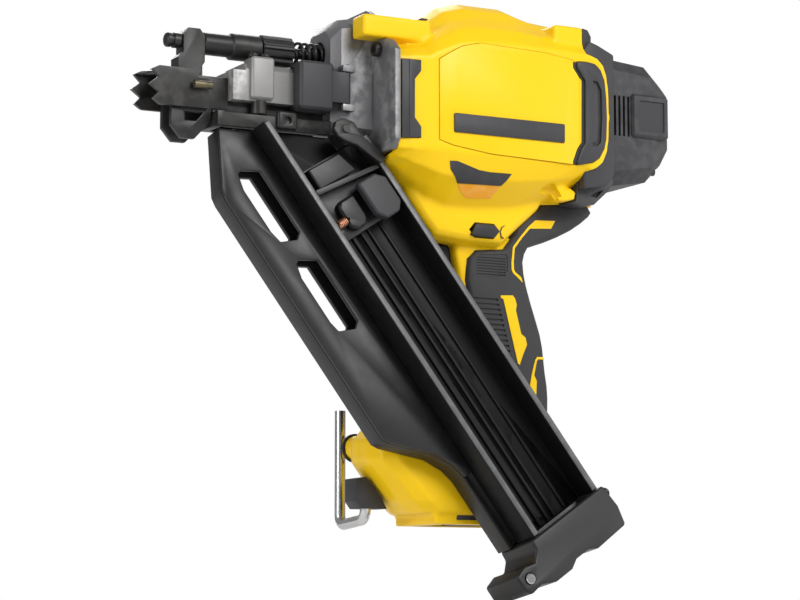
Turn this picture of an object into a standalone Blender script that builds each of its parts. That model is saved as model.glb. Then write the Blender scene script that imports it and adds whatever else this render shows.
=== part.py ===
# Cordless strip framing nailer, bare tool, built from separate pieces.
# Lengths below are in millimetres in the tool's own axes: X runs rearwards along the
# driver axis from the front flange, Y to the tool's right, Z up from the driver axis.
# A root empty carries everything so that the base of the tool sits at Z = 0.
import math

import bmesh
import bpy
from mathutils import Vector

MM = 0.001

# place of the tool's own zero in the finished part
ROOT_X, ROOT_Y, ROOT_Z = -27.0, 12.5, 283.7

# housing
SEAM_GAP = 0.15          # each half stops this far from the middle plane
WALL = 3.0               # shell thickness
BARREL_HALF = 45.0       # half width of the main barrel
NECK_HALF = 24.0         # half width of the neck above the trigger
GRIP_HALF = 17.0         # half width of the rubber grip
CORE_HALF = 14.4         # half width of the handle core under the rubber
FIT = 0.3                # clearance between neighbouring pieces
FOOT_TOP, FOOT_BOTTOM = -180.0, -233.0

# nose
FLANGE_FRONT, FLANGE_BACK = 0.3, 3.5
ROD_Z = 27.0             # height of the contact trip rod
ROD_R = 3.0
TRIP_TIP = -138.0

# magazine: angle of the nail strip and sideways lean
STRIP_ANGLE = math.radians(33.0)
LEAN = math.radians(9.5)
MAG_TOP = 24.0           # depth of the magazine's top edge below the driver axis
MAG_FRONT, MAG_REAR = -110.0, -20.0
MAG_STEP = -73.0         # where the flat side steps up to the pusher rail
MAG_END = 256.0
MAG_FAR, MAG_NEAR = -8.0, 24.0
SIDE_LOW, SIDE_HIGH = 5.3, 7.8

COLOURS = {
    "yellow_shell": ((0.90, 0.60, 0.03), 0.38, 0.0),
    "dark_rubber": ((0.055, 0.055, 0.058), 0.75, 0.0),
    "black_plastic": ((0.028, 0.028, 0.030), 0.5, 0.0),
    "grey_plastic": ((0.085, 0.085, 0.090), 0.6, 0.0),
    "black_steel": ((0.035, 0.035, 0.038), 0.45, 0.6),
    "cast_metal": ((0.20, 0.20, 0.21), 0.5, 0.9),
    "bright_metal": ((0.58, 0.56, 0.54), 0.35, 1.0),
    "spring_steel": ((0.10, 0.10, 0.105), 0.35, 0.9),
    "hook_steel": ((0.55, 0.55, 0.56), 0.25, 1.0),
    "copper": ((0.60, 0.30, 0.20), 0.35, 0.9),
    "brass": ((0.62, 0.45, 0.18), 0.4, 0.9),
    "orange_label": ((0.85, 0.42, 0.03), 0.5, 0.0),
    "board_green": ((0.03, 0.20, 0.08), 0.5, 0.0),
    "winding": ((0.50, 0.22, 0.08), 0.4, 0.7),
}

ROOT = None
MATERIALS = {}


def clear_scene():
    for obj in list(bpy.data.objects):
        bpy.data.objects.remove(obj, do_unlink=True)


def material(name):
    if name not in MATERIALS:
        colour, rough, metal = COLOURS[name]
        mat = bpy.data.materials.new(name)
        mat.use_nodes = True
        shader = mat.node_tree.nodes["Principled BSDF"]
        shader.inputs["Base Color"].default_value = (*colour, 1.0)
        shader.inputs["Roughness"].default_value = rough
        shader.inputs["Metallic"].default_value = metal
        MATERIALS[name] = mat
    return MATERIALS[name]


# ---- the magazine's own directions -------------------------------------------------
DOWN = Vector((0.0, -math.sin(LEAN), -math.cos(LEAN)))
AFT = Vector((1.0, 0.0, 0.0))
OUT = Vector((0.0, -math.cos(LEAN), math.sin(LEAN)))
ALONG = AFT * math.sin(STRIP_ANGLE) + DOWN * math.cos(STRIP_ANGLE)
ACROSS = AFT * math.cos(STRIP_ANGLE) - DOWN * math.sin(STRIP_ANGLE)


def strip_point(m, n, t):
    return ALONG * m + ACROSS * n + OUT * t


def level(x, depth):
    """Magazine coordinates of a point given by its X and its depth under the axis."""
    s, c = math.sin(STRIP_ANGLE), math.cos(STRIP_ANGLE)
    return (x * s + depth * c, x * c - depth * s)


# ---- solids -----------------------------------------------------------------------
def prism(points, low, high, place):
    bm = bmesh.new()
    bottom = [bm.verts.new(place(a, b, low)) for a, b in points]
    top = [bm.verts.new(place(a, b, high)) for a, b in points]
    count = len(points)
    bm.faces.new(bottom)
    bm.faces.new(top)
    for i in range(count):
        j = (i + 1) % count
        bm.faces.new((bottom[i], bottom[j], top[j], top[i]))
    bmesh.ops.recalc_face_normals(bm, faces=bm.faces)
    return bm


def side(points, y0, y1):
    return prism(points, y0, y1, lambda x, z, y: Vector((x, y, z)))


def cross(points, x0, x1):
    return prism(points, x0, x1, lambda y, z, x: Vector((x, y, z)))


def plan(points, z0, z1):
    return prism(points, z0, z1, lambda x, y, z: Vector((x, y, z)))


def strip(points, t0, t1):
    return prism(points, t0, t1, strip_point)


def box(x0, x1, y0, y1, z0, z1):
    return plan([(x0, y0), (x1, y0), (x1, y1), (x0, y1)], z0, z1)


def strip_box(m0, m1, n0, n1, t0, t1):
    return strip([(m0, n0), (m1, n0), (m1, n1), (m0, n1)], t0, t1)


def ring_frame(direction):
    axis = direction.normalized()
    helper = Vector((0, 0, 1)) if abs(axis.z) < 0.9 else Vector((1, 0, 0))
    u = axis.cross(helper).normalized()
    return u, axis.cross(u)


def rings_solid(rings):
    bm = bmesh.new()
    rows = [[bm.verts.new(p) for p in ring] for ring in rings]
    count = len(rows[0])
    bm.faces.new(rows[0])
    bm.faces.new(rows[-1])
    for low, high in zip(rows, rows[1:]):
        for i in range(count):
            j = (i + 1) % count
            bm.faces.new((low[i], low[j], high[j], high[i]))
    bmesh.ops.recalc_face_normals(bm, faces=bm.faces)
    return bm


def turned(start, direction, profile, sides=20):
    """Round solid from (distance, radius) pairs along a direction."""
    axis = Vector(direction).normalized()
    u, w = ring_frame(axis)
    rings = []
    for distance, radius in profile:
        centre = Vector(start) + axis * distance
        ring = []
        for k in range(sides):
            a = 2.0 * math.pi * k / sides
            ring.append(centre + (u * math.cos(a) + w * math.sin(a)) * radius)
        rings.append(ring)
    return rings_solid(rings)


def rod(start, end, radius, sides=16):
    a, b = Vector(start), Vector(end)
    return turned(a, b - a, [(0.0, radius), ((b - a).length, radius)], sides)


def bent_rod(points, radius, sides=12):
    pts = [Vector(p) for p in points]
    rings = []
    for i, p in enumerate(pts):
        before = (p - pts[i - 1]).normalized() if i else (pts[1] - p).normalized()
        after = (pts[i + 1] - p).normalized() if i < len(pts) - 1 else before
        mid = (before + after).normalized()
        if i == 0:
            u, w = ring_frame(mid)
        else:
            u = (u - mid * u.dot(mid)).normalized()
            w = mid.cross(u)
        ring = []
        for k in range(sides):
            a = 2.0 * math.pi * k / sides
            ring.append(p + (u * math.cos(a) + w * math.sin(a)) * radius)
        rings.append(ring)
    return rings_solid(rings)


def coil(start, direction, length, radius, wire, turns, steps, sides=6):
    axis = Vector(direction).normalized()
    u, w = ring_frame(axis)
    total = int(turns * steps)
    points = []
    for k in range(total + 1):
        a = 2.0 * math.pi * k / steps
        travel = wire + (length - 2.0 * wire) * k / total
        points.append(Vector(start) + axis * travel + (u * math.cos(a) + w * math.sin(a)) * radius)
    return bent_rod(points, wire, sides)


def soften(bm, width, segments=1, angle=35.0):
    limit = math.radians(angle)
    edges = [e for e in bm.edges if len(e.link_faces) == 2 and e.calc_face_angle(0.0) > limit]
    bmesh.ops.bevel(bm, geom=edges, offset=width, segments=segments, profile=0.5, affect="EDGES")
    return bm


def inset_outline(points, amount):
    """Move every side of a closed outline inwards by the same amount."""
    area = sum(a[0] * b[1] - b[0] * a[1] for a, b in zip(points, points[1:] + points[:1]))
    sign = 1.0 if area > 0 else -1.0
    result = []
    count = len(points)
    for i in range(count):
        p0, p1, p2 = points[i - 1], points[i], points[(i + 1) % count]
        d1 = Vector((p1[0] - p0[0], p1[1] - p0[1])).normalized()
        d2 = Vector((p2[0] - p1[0], p2[1] - p1[1])).normalized()
        n1 = Vector((-d1.y, d1.x)) * sign
        n2 = Vector((-d2.y, d2.x)) * sign
        both = n1 + n2
        scale = amount / max(0.35, 0.5 * both.length_squared)
        result.append((p1[0] + both.x * scale, p1[1] + both.y * scale))
    return result


# ---- objects ----------------------------------------------------------------------
def finish_mesh(name, bm, origin):
    for vert in bm.verts:
        vert.co = (vert.co - Vector(origin)) * MM
    bmesh.ops.triangulate(bm, faces=[f for f in bm.faces if len(f.verts) > 4])
    bmesh.ops.recalc_face_normals(bm, faces=bm.faces)
    mesh = bpy.data.meshes.new(name)
    bm.to_mesh(mesh)
    bm.free()
    obj = bpy.data.objects.new(name, mesh)
    obj.location = Vector(origin) * MM
    bpy.context.collection.objects.link(obj)
    obj.parent = ROOT
    return obj


def piece(name, bm, colour, origin=(0.0, 0.0, 0.0)):
    obj = finish_mesh(name, bm, origin)
    obj.data.materials.append(material(colour))
    return obj


def combine(obj, bm, kind):
    tool = finish_mesh(obj.name + "_shape", bm, (0.0, 0.0, 0.0))
    tool.hide_render = True
    tool.display_type = "WIRE"
    change = obj.modifiers.new(kind.lower(), "BOOLEAN")
    change.operation = kind
    change.solver = "EXACT"
    change.object = tool


def add(obj, *solids):
    for bm in solids:
        combine(obj, bm, "UNION")


def cut(obj, *solids):
    for bm in solids:
        combine(obj, bm, "DIFFERENCE")


# ---- housing ----------------------------------------------------------------------
# position along X, crown height, shoulder height, half width, belly height
BARREL_RINGS = [
    (3.9, 37.0, 21.0, 43.5, -38.0),
    (22.0, 39.0, 22.0, 45.0, -50.0),
    (32.0, 52.0, 28.0, 45.0, -56.0),
    (44.0, 60.0, 33.0, 45.0, -60.0),
    (58.0, 64.0, 35.0, 45.0, -60.0),
    (86.0, 64.0, 35.0, 45.0, -58.0),
    (105.0, 58.0, 35.0, 45.0, -53.0),
    (130.0, 57.0, 34.0, 44.5, -44.0),
    (143.0, 55.0, 31.0, 42.0, -40.0),
]


def barrel(inset, stretch=0.0):
    rings = []
    last = len(BARREL_RINGS) - 1
    for k, (x, crown, shoulder, half, belly) in enumerate(BARREL_RINGS):
        if k == 0:
            x -= stretch
        if k == last:
            x += stretch
        crown, shoulder, half, belly = crown - inset, shoulder - 0.4 * inset, half - inset, belly + inset
        outline = [
            (0.36 * half, crown),
            (0.62 * half, crown - 0.22 * (crown - shoulder)),
            (half - 7.0, shoulder + 0.30 * (crown - shoulder)),
            (half, shoulder),
            (half, -28.0 + 0.4 * inset),
            (half - 6.0, -28.0 + 0.4 * inset + 0.45 * (belly + 28.0)),
            (0.46 * half, belly),
        ]
        ring = [Vector((x, y, z)) for y, z in outline]
        ring += [Vector((x, -y, z)) for y, z in reversed(outline)]
        rings.append(ring)
    return rings_solid(rings)


NECK = [(9, -30), (14, -42), (22, -56), (30, -67), (38, -76), (60, -78), (84, -76), (95, -68),
        (110, -55), (116, -44), (116, -30)]
HANDLE = [(58, -70), (61, -100), (66, -114), (72, -132), (79, -152), (84, -168), (86, -184),
          (130, -184), (126, -168), (124, -150), (120, -132), (114, -117), (108, -106), (102, -98),
          (101, -85), (104, -79), (113, -74), (128, -66), (140, -60), (146, -54), (145, -47),
          (112, -46), (90, -60)]

HANDLE_HOLLOW = [(67, -62), (68, -98), (73, -116), (79, -134), (86, -154), (91, -172), (92, -190),
                 (122, -190), (119, -168), (117, -150), (113, -132), (107, -119), (101, -108),
                 (95, -99), (94, -84), (94, -62)]


def foot(inset):
    tops = [
        (FOOT_TOP + 2.0 - inset, 30.0, 122.0, 14.0),
        (-184.0 - 0.6 * inset, 8.0, 127.0, 20.0),
        (-192.0, 2.0, 128.0, 22.0),
        (-203.0, 3.0, 128.0, 24.5),
        (-214.0, 12.0, 128.0, 26.5),
        (-226.0, 22.0, 128.0, 28.0),
        (FOOT_BOTTOM + inset, 32.0, 127.0, 26.5),
    ]
    rings = []
    for z, front, rear, half in tops:
        front, rear, half = front + inset, rear - inset, half - inset
        corner = 9.0
        outline = [(front + corner, half), (rear - 3.0, half), (rear, half - 3.0), (rear, 3.0 - half),
                   (rear - 3.0, -half), (front + corner, -half), (front, -0.45 * half), (front,
                       0.45 * half)]
        rings.append([Vector((x, y, z)) for x, y in outline])
    return rings_solid(rings)


TRIGGER_SLOT = (37.0, 66.0, 9.0, -101.0, -66.0)


def housing(name, right):
    sgn = 1.0 if right else -1.0
    shell = piece(name, barrel(0.0), "yellow_shell")
    lug_side = sorted((sgn * 20.0, sgn * 35.0))
    lug = box(-13.0, 26.0, *lug_side, 36.0, 46.0)
    add(shell,
        side(NECK, -NECK_HALF, NECK_HALF),
        side(inset_outline(HANDLE, 2.8), -CORE_HALF, CORE_HALF),
        foot(0.0),
        box(38.0, 126.0, -24.0, 24.0, -239.0, -232.0),
        soften(lug, 2.0))
    if right:
        add(shell, turned((16.0, 20.0, -194.0), (0, 1, 0), [(0, 7.0), (11.5, 7.0), (13.0, 5.5)], 18))
    if right:
        cut(shell, box(-60, 260, -90.0, SEAM_GAP, -300, 120))
    else:
        cut(shell, box(-60, 260, -SEAM_GAP, 90.0, -300, 120))
    cut(shell,
        barrel(WALL, 2.0),
        side(inset_outline(NECK, WALL + 0.5), -NECK_HALF + WALL, NECK_HALF - WALL),
        side(HANDLE_HOLLOW, -CORE_HALF + 2.6, CORE_HALF - 2.6),
        foot(WALL))
    x0, x1, half, z0, z1 = TRIGGER_SLOT
    cut(shell,
        box(x0, x1, -half, half, z0, z1),
        side([(60.8, -73.6), (64.6, -65.6), (77.4, -65.6), (81.2, -69.6), (77.4, -74.4), (64.6, -74.4)],
            -30, 30),
        box(46.0, 130.0, -18.6, 18.6, -240.0, -232.6),
        rod((0.0, sgn * 28.0, 28.0), (16.0, sgn * 28.0, 28.0), 2.5, 12))
    return shell


COVER = [(29, -24), (38, -26.5), (63, -29.5), (119, -30), (119, 34.5), (56, 34), (44, 31), (36, 26.5),
    (29, 22)]
REAR_INSERT = [(120, -30), (137, -27), (140.5, -21), (140.5, 21), (137, 28), (131, 32), (120, 34)]
FRONT_INSERT = [(5, -25), (17, -24), (17, -18), (13, -13), (13, 9), (17, 14), (17, 20), (5, 20)]


def side_trim(tag, sgn):
    def slab(points, low, high, bevel):
        a, b = sgn * low, sgn * high
        return soften(side(points, min(a, b), max(a, b)), bevel)
    outer = BARREL_HALF + FIT
    piece("side_cover_" + tag, slab(COVER, outer, outer + 2.2, 0.8), "yellow_shell")
    piece("rear_bumper_" + tag, slab(REAR_INSERT, outer, outer + 2.6, 0.8), "grey_plastic")
    piece("front_bumper_" + tag, slab(FRONT_INSERT, outer, outer + 2.6, 0.6), "grey_plastic")


def badges():
    y = -(BARREL_HALF + FIT + 2.2 + FIT)
    piece("nameplate_left", side([(38, -24), (111, -27), (111, -13), (38, -11)], y - 0.8, y),
        "black_plastic")
    label = piece("angle_badge_left", side([(34, -34.5), (76, -37.5), (67, -50), (41, -50)], -46.0, -25.0),
                  "orange_label")
    combine(label, barrel(-FIT - 0.8), "INTERSECT")
    cut(label, barrel(-FIT, 1.0))


def grips():
    core = inset_outline(HANDLE, 2.8 - FIT)
    for tag, sgn in (("left", -1.0), ("right", 1.0)):
        outer = [(x, z) for x, z in HANDLE]
        bm = soften(side(outer, -GRIP_HALF, GRIP_HALF), 2.0, 2)
        grip = piece("grip_" + tag, bm, "dark_rubber")
        cut(grip, side(core, -CORE_HALF - FIT, CORE_HALF + FIT))
        cut(grip, side(inset_outline(NECK, -FIT), -NECK_HALF - FIT, NECK_HALF + FIT))
        cut(grip, barrel(-FIT, 2.0))
        cut(grip, box(30, 150, -40, 40, -200.0, -176.0))
        cut(grip, box(30.0, TRIGGER_SLOT[1], -9.0, 9.0, -101.0, -60.0))
        if sgn > 0:
            cut(grip, box(-60, 260, -90.0, SEAM_GAP, -300, 120))
        else:
            cut(grip, box(-60, 260, -SEAM_GAP, 90.0, -300, 120))


def controls():
    trig = soften(side([(43, -77), (58, -77), (60, -90), (57, -98), (48, -99), (42, -95), (40, -87),
        (41, -80)],
                       -8.2, 8.2), 1.2)
    lever = piece("trigger", trig, "black_plastic", (58.0, 0.0, -72.0))
    add(lever, side([(50, -79), (50, -70), (61, -70), (61, -84), (57, -84)], -6.0, 6.0))
    cut(lever, rod((58.0, -7.0, -72.0), (58.0, 7.0, -72.0), 1.6))
    outline = [(61.3, -73.2), (64.8, -66.1), (77.2, -66.1), (80.7, -69.8), (77.2, -74.0), (64.8, -74.0)]
    piece("lock_off_button", soften(side(outline, -NECK_HALF - 1.6, NECK_HALF + 1.6), 0.6),
          "black_plastic", (71.0, 0.0, -70.0))
    piece("trigger_switch", soften(box(68.0, 88.0, -8.0, 8.0, -98.0, -80.0), 0.8), "black_plastic")


def foot_parts():
    rail = piece("battery_rail", box(46.4, 126.0, -18.2, 18.2, -237.4, -233.4), "black_plastic")
    cut(rail, box(60.0, 130.0, -13.0, 13.0, -238.0, -235.0))
    block = piece("terminal_block", box(62.0, 82.0, -11.0, 11.0, -238.6, -235.4), "brass")
    cut(block, box(66.0, 84.0, -7.5, -4.5, -239.0, -236.6), box(66.0, 84.0, -1.5, 1.5, -239.0, -236.6),
        box(66.0, 84.0, 4.5, 7.5, -239.0, -236.6))
    piece("control_board", box(48.0, 116.0, -19.0, 19.0, -223.0, -221.0), "board_green")
    bracket = piece("hook_bracket", side([(1.0, -213.0), (8.0, -212.0), (17.0, -223.0), (21.0, -230.0),
                                          (4.0, -230.0), (1.0, -226.0)], 1.0, 15.0), "grey_plastic")
    cut(bracket, foot(-FIT), rod((10.0, 7.0, -240.0), (10.0, 7.0, -217.0), 3.26, 20))
    bend = 5.0
    path = [(10, 7, -219), (10, 7, -236.0 + bend), (10, 8.5, -234.7), (10, 12, -236.2), (10, 34, -238.2),
            (10, 37.5, -236.8), (10, 39, -233), (10, 39, -176), (10, 39, -172)]
    piece("belt_hook", bent_rod(path, 3.2, 14), "hook_steel", (10.0, 7.0, -230.0))


# ---- rear -------------------------------------------------------------------------
def rear_parts():
    def ring(x, top, bottom, half):
        return [Vector((x, y, z)) for y, z in
                [(half - 8, top), (half, top - 8), (half, bottom + 8), (half - 8, bottom),
                 (8 - half, bottom), (-half, bottom + 8), (-half, top - 8), (8 - half, top)]]
    collar = piece("rear_collar", rings_solid([ring(143.3, 44.0, -41.0, 39.0),
        ring(148.0, 44.0, -41.0, 39.0)]),
                   "black_plastic")
    cut(collar, rings_solid([ring(140.0, 37.0, -33.0, 32.0), ring(150.0, 37.0, -33.0, 32.0)]))
    cap = piece("rear_cap", rings_solid([ring(148.3, 38.5, -39.0, 37.0), ring(179.0, 36.0, -34.0, 36.0),
                                         ring(192.0, 26.0, -22.0, 33.0)]), "grey_plastic")
    for sgn in (-1.0, 1.0):
        y0, y1 = sorted((sgn * 30.0, sgn * 38.6))
        add(cap, soften(box(164.0, 190.0, y0, y1, -9.0, 17.0), 1.5))
    cut(cap, rings_solid([ring(147.0, 35.5, -36.0, 34.0), ring(177.5, 33.0, -31.0, 33.0),
                          ring(188.5, 24.0, -20.0, 30.0)]))
    for sgn in (-1.0, 1.0):
        for k in range(4):
            x = 152.0 + 3.2 * k
            y0, y1 = sorted((sgn * 30.0, sgn * 42.0))
            cut(cap, box(x, x + 1.6, y0, y1, -9.0, 15.0))
    for k, (y, z) in enumerate(((-26.0, -27.0), (26.0, -27.0))):
        cut(cap, rod((150.0, y, z), (200.0, y, z), 2.6, 14))
        piece("cap_screw_%d" % (k + 1), turned((146.0, y, z), (1, 0, 0),
                                              [(0, 2.2), (38.6, 2.2), (38.6, 2.2),
                                                  (40.6, 2.2)], 14), "black_steel")
    bumper = piece("top_bumper", soften(side([(130.0, 52.0), (146.0, 50.0), (148.0, 57.0), (142.0, 60.5),
                                              (131.0, 61.0)], -14.0, 14.0), 1.0), "dark_rubber")
    cut(bumper, barrel(-FIT, 6.0))


# ---- nose -------------------------------------------------------------------------
def nose_parts():
    flange = [(-19, 50), (-12, 54), (12, 54), (19, 50), (19.5, 35.4), (40, 32.0), (48, 25), (48, -29),
        (41, -35.6),
              (-6, -35.6), (-12, -31.0), (-43, -31.0), (-48, -26), (-48, 25), (-40, 32.0), (-19.5, 35.4)]
    casting = piece("nose_casting", cross(flange, FLANGE_FRONT, FLANGE_BACK), "cast_metal")
    hub_rings = []
    for x, half, top, bottom in ((-24.0, 15.0, 40.0, -17.0), (-19.0, 19.0, 46.0, -20.0),
        (1.0, 19.3, 50.0, -20.5)):
        hub_rings.append([Vector((x, y, z)) for y, z in
                          [(half - 6, top), (half, top - 6), (half, bottom + 4), (half - 4, bottom),
                           (4 - half, bottom), (-half, bottom + 4), (-half, top - 6), (6 - half, top)]])
    add(casting, rings_solid(hub_rings),
        box(-20.5, -13.0, -24.6, -18.0, 14.4, 18.0),
        box(-20.5, -13.0, -24.6, -18.0, -8.0, -4.4))
    cut(casting,
        box(-19.0, 5.0, -15.0, 15.0, 9.0, 16.0),
        box(-30.0, 5.0, -8.2, 8.2, -8.0, 7.0),
        turned((-30.0, 0.0, ROD_Z), (1, 0, 0), [(0, 8.2), (23.0, 8.2)], 24),
        rod((-10.0, 0.0, ROD_Z), (6.0, 0.0, ROD_Z), ROD_R + 0.35, 20),
        rod((-17.0, -22.2, -12.0), (-17.0, -22.2, 22.0), 1.5, 14))
    for sgn in (-1.0, 1.0):
        cut(casting, rod((-2.0, sgn * 28.0, 28.0), (5.0, sgn * 28.0, 28.0), 2.4, 14))
        tag = "left" if sgn < 0 else "right"
        screw = turned((-3.4, sgn * 28.0, 28.0), (1, 0, 0), [(0, 3.6), (0.6, 4.2), (3.4, 4.2), (3.4,
            2.1), (11.0, 2.1)],
                       16)
        head = piece("flange_screw_" + tag, screw, "black_steel")
        cut(head, turned((-4.0, sgn * 28.0, 28.0), (1, 0, 0), [(0, 1.8), (2.2, 1.8)], 6))

    block = piece("nose_block", cross([(-15, -6), (-15, 12), (-12, 15.5), (12, 15.5), (15, 12),
        (15, -6), (5.6, -6),
                                       (5.6, 5.4), (-5.6, 5.4), (-5.6, -6)], -84.0, -24.3), "bright_metal")
    add(block,
        soften(box(-74.0, -60.0, -18.5, -6.0, -5.0, 19.0), 1.2),
        rod((-67.0, -12.0, -13.0), (-67.0, -12.0, 2.0), 4.0, 14))
    cut(block, box(-90.0, -76.5, -16.0, 16.0, 11.0, 20.0))
    for k, x in enumerate((-70.6, -63.4)):
        head = turned((x, -12.0, 12.0), (0, 0, 1), [(0, 1.6), (7.4, 1.6), (7.4, 3.0), (9.2, 3.0),
            (9.8, 2.4)], 14)
        cut(block, rod((x, -12.0, 11.0), (x, -12.0, 24.0), 1.9, 14))
        piece("nose_screw_%d" % (k + 1), head, "black_steel")

    guide = piece("nose_guide", cross([(-8.2, -11), (-8.2, 7.0), (8.2, 7.0), (8.2, -11), (4.8, -11),
        (4.8, 4.2),
                                       (-4.8, 4.2), (-4.8, -11)], -118.0, -84.4), "black_steel")
    cheek = [(-118, -8), (-94, -8), (-94, -18), (-104, -29), (-112, -29), (-118, -22)]
    add(guide, side(cheek, -8.2, -4.8), side(cheek, 4.8, 8.2))
    cut(guide, side([(-110, -14), (-99, -14), (-103, -19), (-110, -19)], -10, -4))
    # two cheeks under the nose block carry the magazine, with room for the nails between them
    add(guide,
        box(-93.4, -88.8, -8.0, 8.0, -13.5, -10.2),
        box(-93.4, -88.8, -15.5, 9.4, -21.2, -13.0),
        box(-90.0, -24.6, -15.5, -9.6, -21.2, -13.6),
        box(-90.0, -24.6, 5.6, 9.4, -21.2, -13.6),
        soften(box(-58.0, -46.0, -18.8, -15.0, -21.0, -10.5), 1.0))
    cut(guide, rod((-52.0, -20.0, -15.8), (-52.0, -16.8, -15.8), 2.2, 16))


def latch_parts():
    clip = piece("jam_latch", soften(box(-47.0, -26.0, -24.4, -8.0, -9.0, 18.6), 1.6), "grey_plastic",
                 (-17.0, -22.2, 5.0))
    cut(clip, box(-50.0, -24.0, -15.4, 2.0, -6.4, 15.9))
    add(clip, box(-28.0, -17.0, -24.0, -20.4, -3.8, 13.8),
        rod((-17.0, -22.2, -3.8), (-17.0, -22.2, 13.8), 1.95, 18))
    cut(clip, rod((-17.0, -22.2, -6.0), (-17.0, -22.2, 16.0), 1.25, 20))
    piece("jam_latch_pin", rod((-17.0, -22.2, -9.0), (-17.0, -22.2, 18.6), 1.2, 20), "black_steel")


def trip_parts():
    fork = [(-97, -12), (-97, 9.6), (-128, 9.6), (TRIP_TIP + 1, 7.5), (-130, 3.6), (TRIP_TIP, -1),
        (-130, -4.8),
            (TRIP_TIP + 1, -9), (-128, -12)]
    trip = piece("contact_trip", side(fork, -11.2, 11.2), "black_steel")
    cut(trip, box(-145.0, -90.0, -8.6, 8.6, -20.0, 7.3))
    cut(trip, plan([(-145, -7), (-127, -7), (-123, -3), (-123, 3), (-127, 7), (-145, 7)], 5.0, 12.0))
    ear = side([(-109.9, 8.5), (-121, 8.8), (-109.9, 20), (-109.9, 30), (-107, 34), (-100, 34),
        (-97, 30), (-97, 8.5)],
               -5.5, 5.5)
    add(trip, ear)
    cut(trip, rod((-130.0, 0, ROD_Z), (-90.0, 0, ROD_Z), ROD_R + 0.3, 20))
    piece("trip_bushing", rod((-107.0, -13.8, 0.5), (-96.5, -13.8, 0.5), 2.2, 14), "brass")

    core = turned((-119.0, 0.0, ROD_Z), (1, 0, 0),
                  [(0.0, 3.6), (0.8, 4.4), (8.7, 4.4), (8.7, ROD_R), (22.3, ROD_R), (22.3, 6.2),
                      (39.0, 6.2),
                   (39.0, 7.6), (57.0, 7.6), (57.0, ROD_R), (117.0, ROD_R)], 20)
    piece("trip_rod", core, "black_steel")

    rings = []
    ribs = 14
    for x in (-61.7, -42.3):
        ring = []
        for k in range(ribs * 2):
            a = math.pi * k / ribs
            radius = 8.4 if k % 2 else 7.5
            ring.append(Vector((x, radius * math.sin(a), ROD_Z + radius * math.cos(a))))
        rings.append(ring)
    knob = piece("depth_knob", rings_solid(rings), "black_plastic", (-52.0, 0.0, ROD_Z))
    cut(knob, rod((-64.0, 0, ROD_Z), (-40.0, 0, ROD_Z), ROD_R + 0.05, 20))
    piece("trip_spring", coil((-42.0, 0.0, ROD_Z), (1, 0, 0), 34.4, 6.0, 0.9, 7.5, 12), "spring_steel",
          (-7.6, 0.0, ROD_Z))


# ---- magazine ---------------------------------------------------------------------
WINDOWS = [
    [(-3, -92), (3, -82), (43, -82), (46, -86), (42, -96), (35, -97.5), (7, -97.5), (-2, -95)],
    [(56, -92), (62, -82), (102, -82), (105, -86), (101, -96), (94, -97.5), (66, -97.5), (57, -95)],
]


def magazine_outline(rear):
    top_front = level(-91.0, MAG_TOP)
    knee = level(-91.0, 60.0)
    rear_m = (MAG_TOP + rear * math.sin(STRIP_ANGLE)) / math.cos(STRIP_ANGLE)
    points = [top_front, knee, (6.0, MAG_FRONT), (164, MAG_FRONT), (168, -107.5), (188, -87),
        (199, -81), (208, -79)]
    if rear > MAG_STEP:
        points += [(MAG_END, -79.0), (MAG_END, rear), (rear_m, rear)]
    else:
        points += [(208.0, rear), (rear_m, rear)]
    return points


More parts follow.
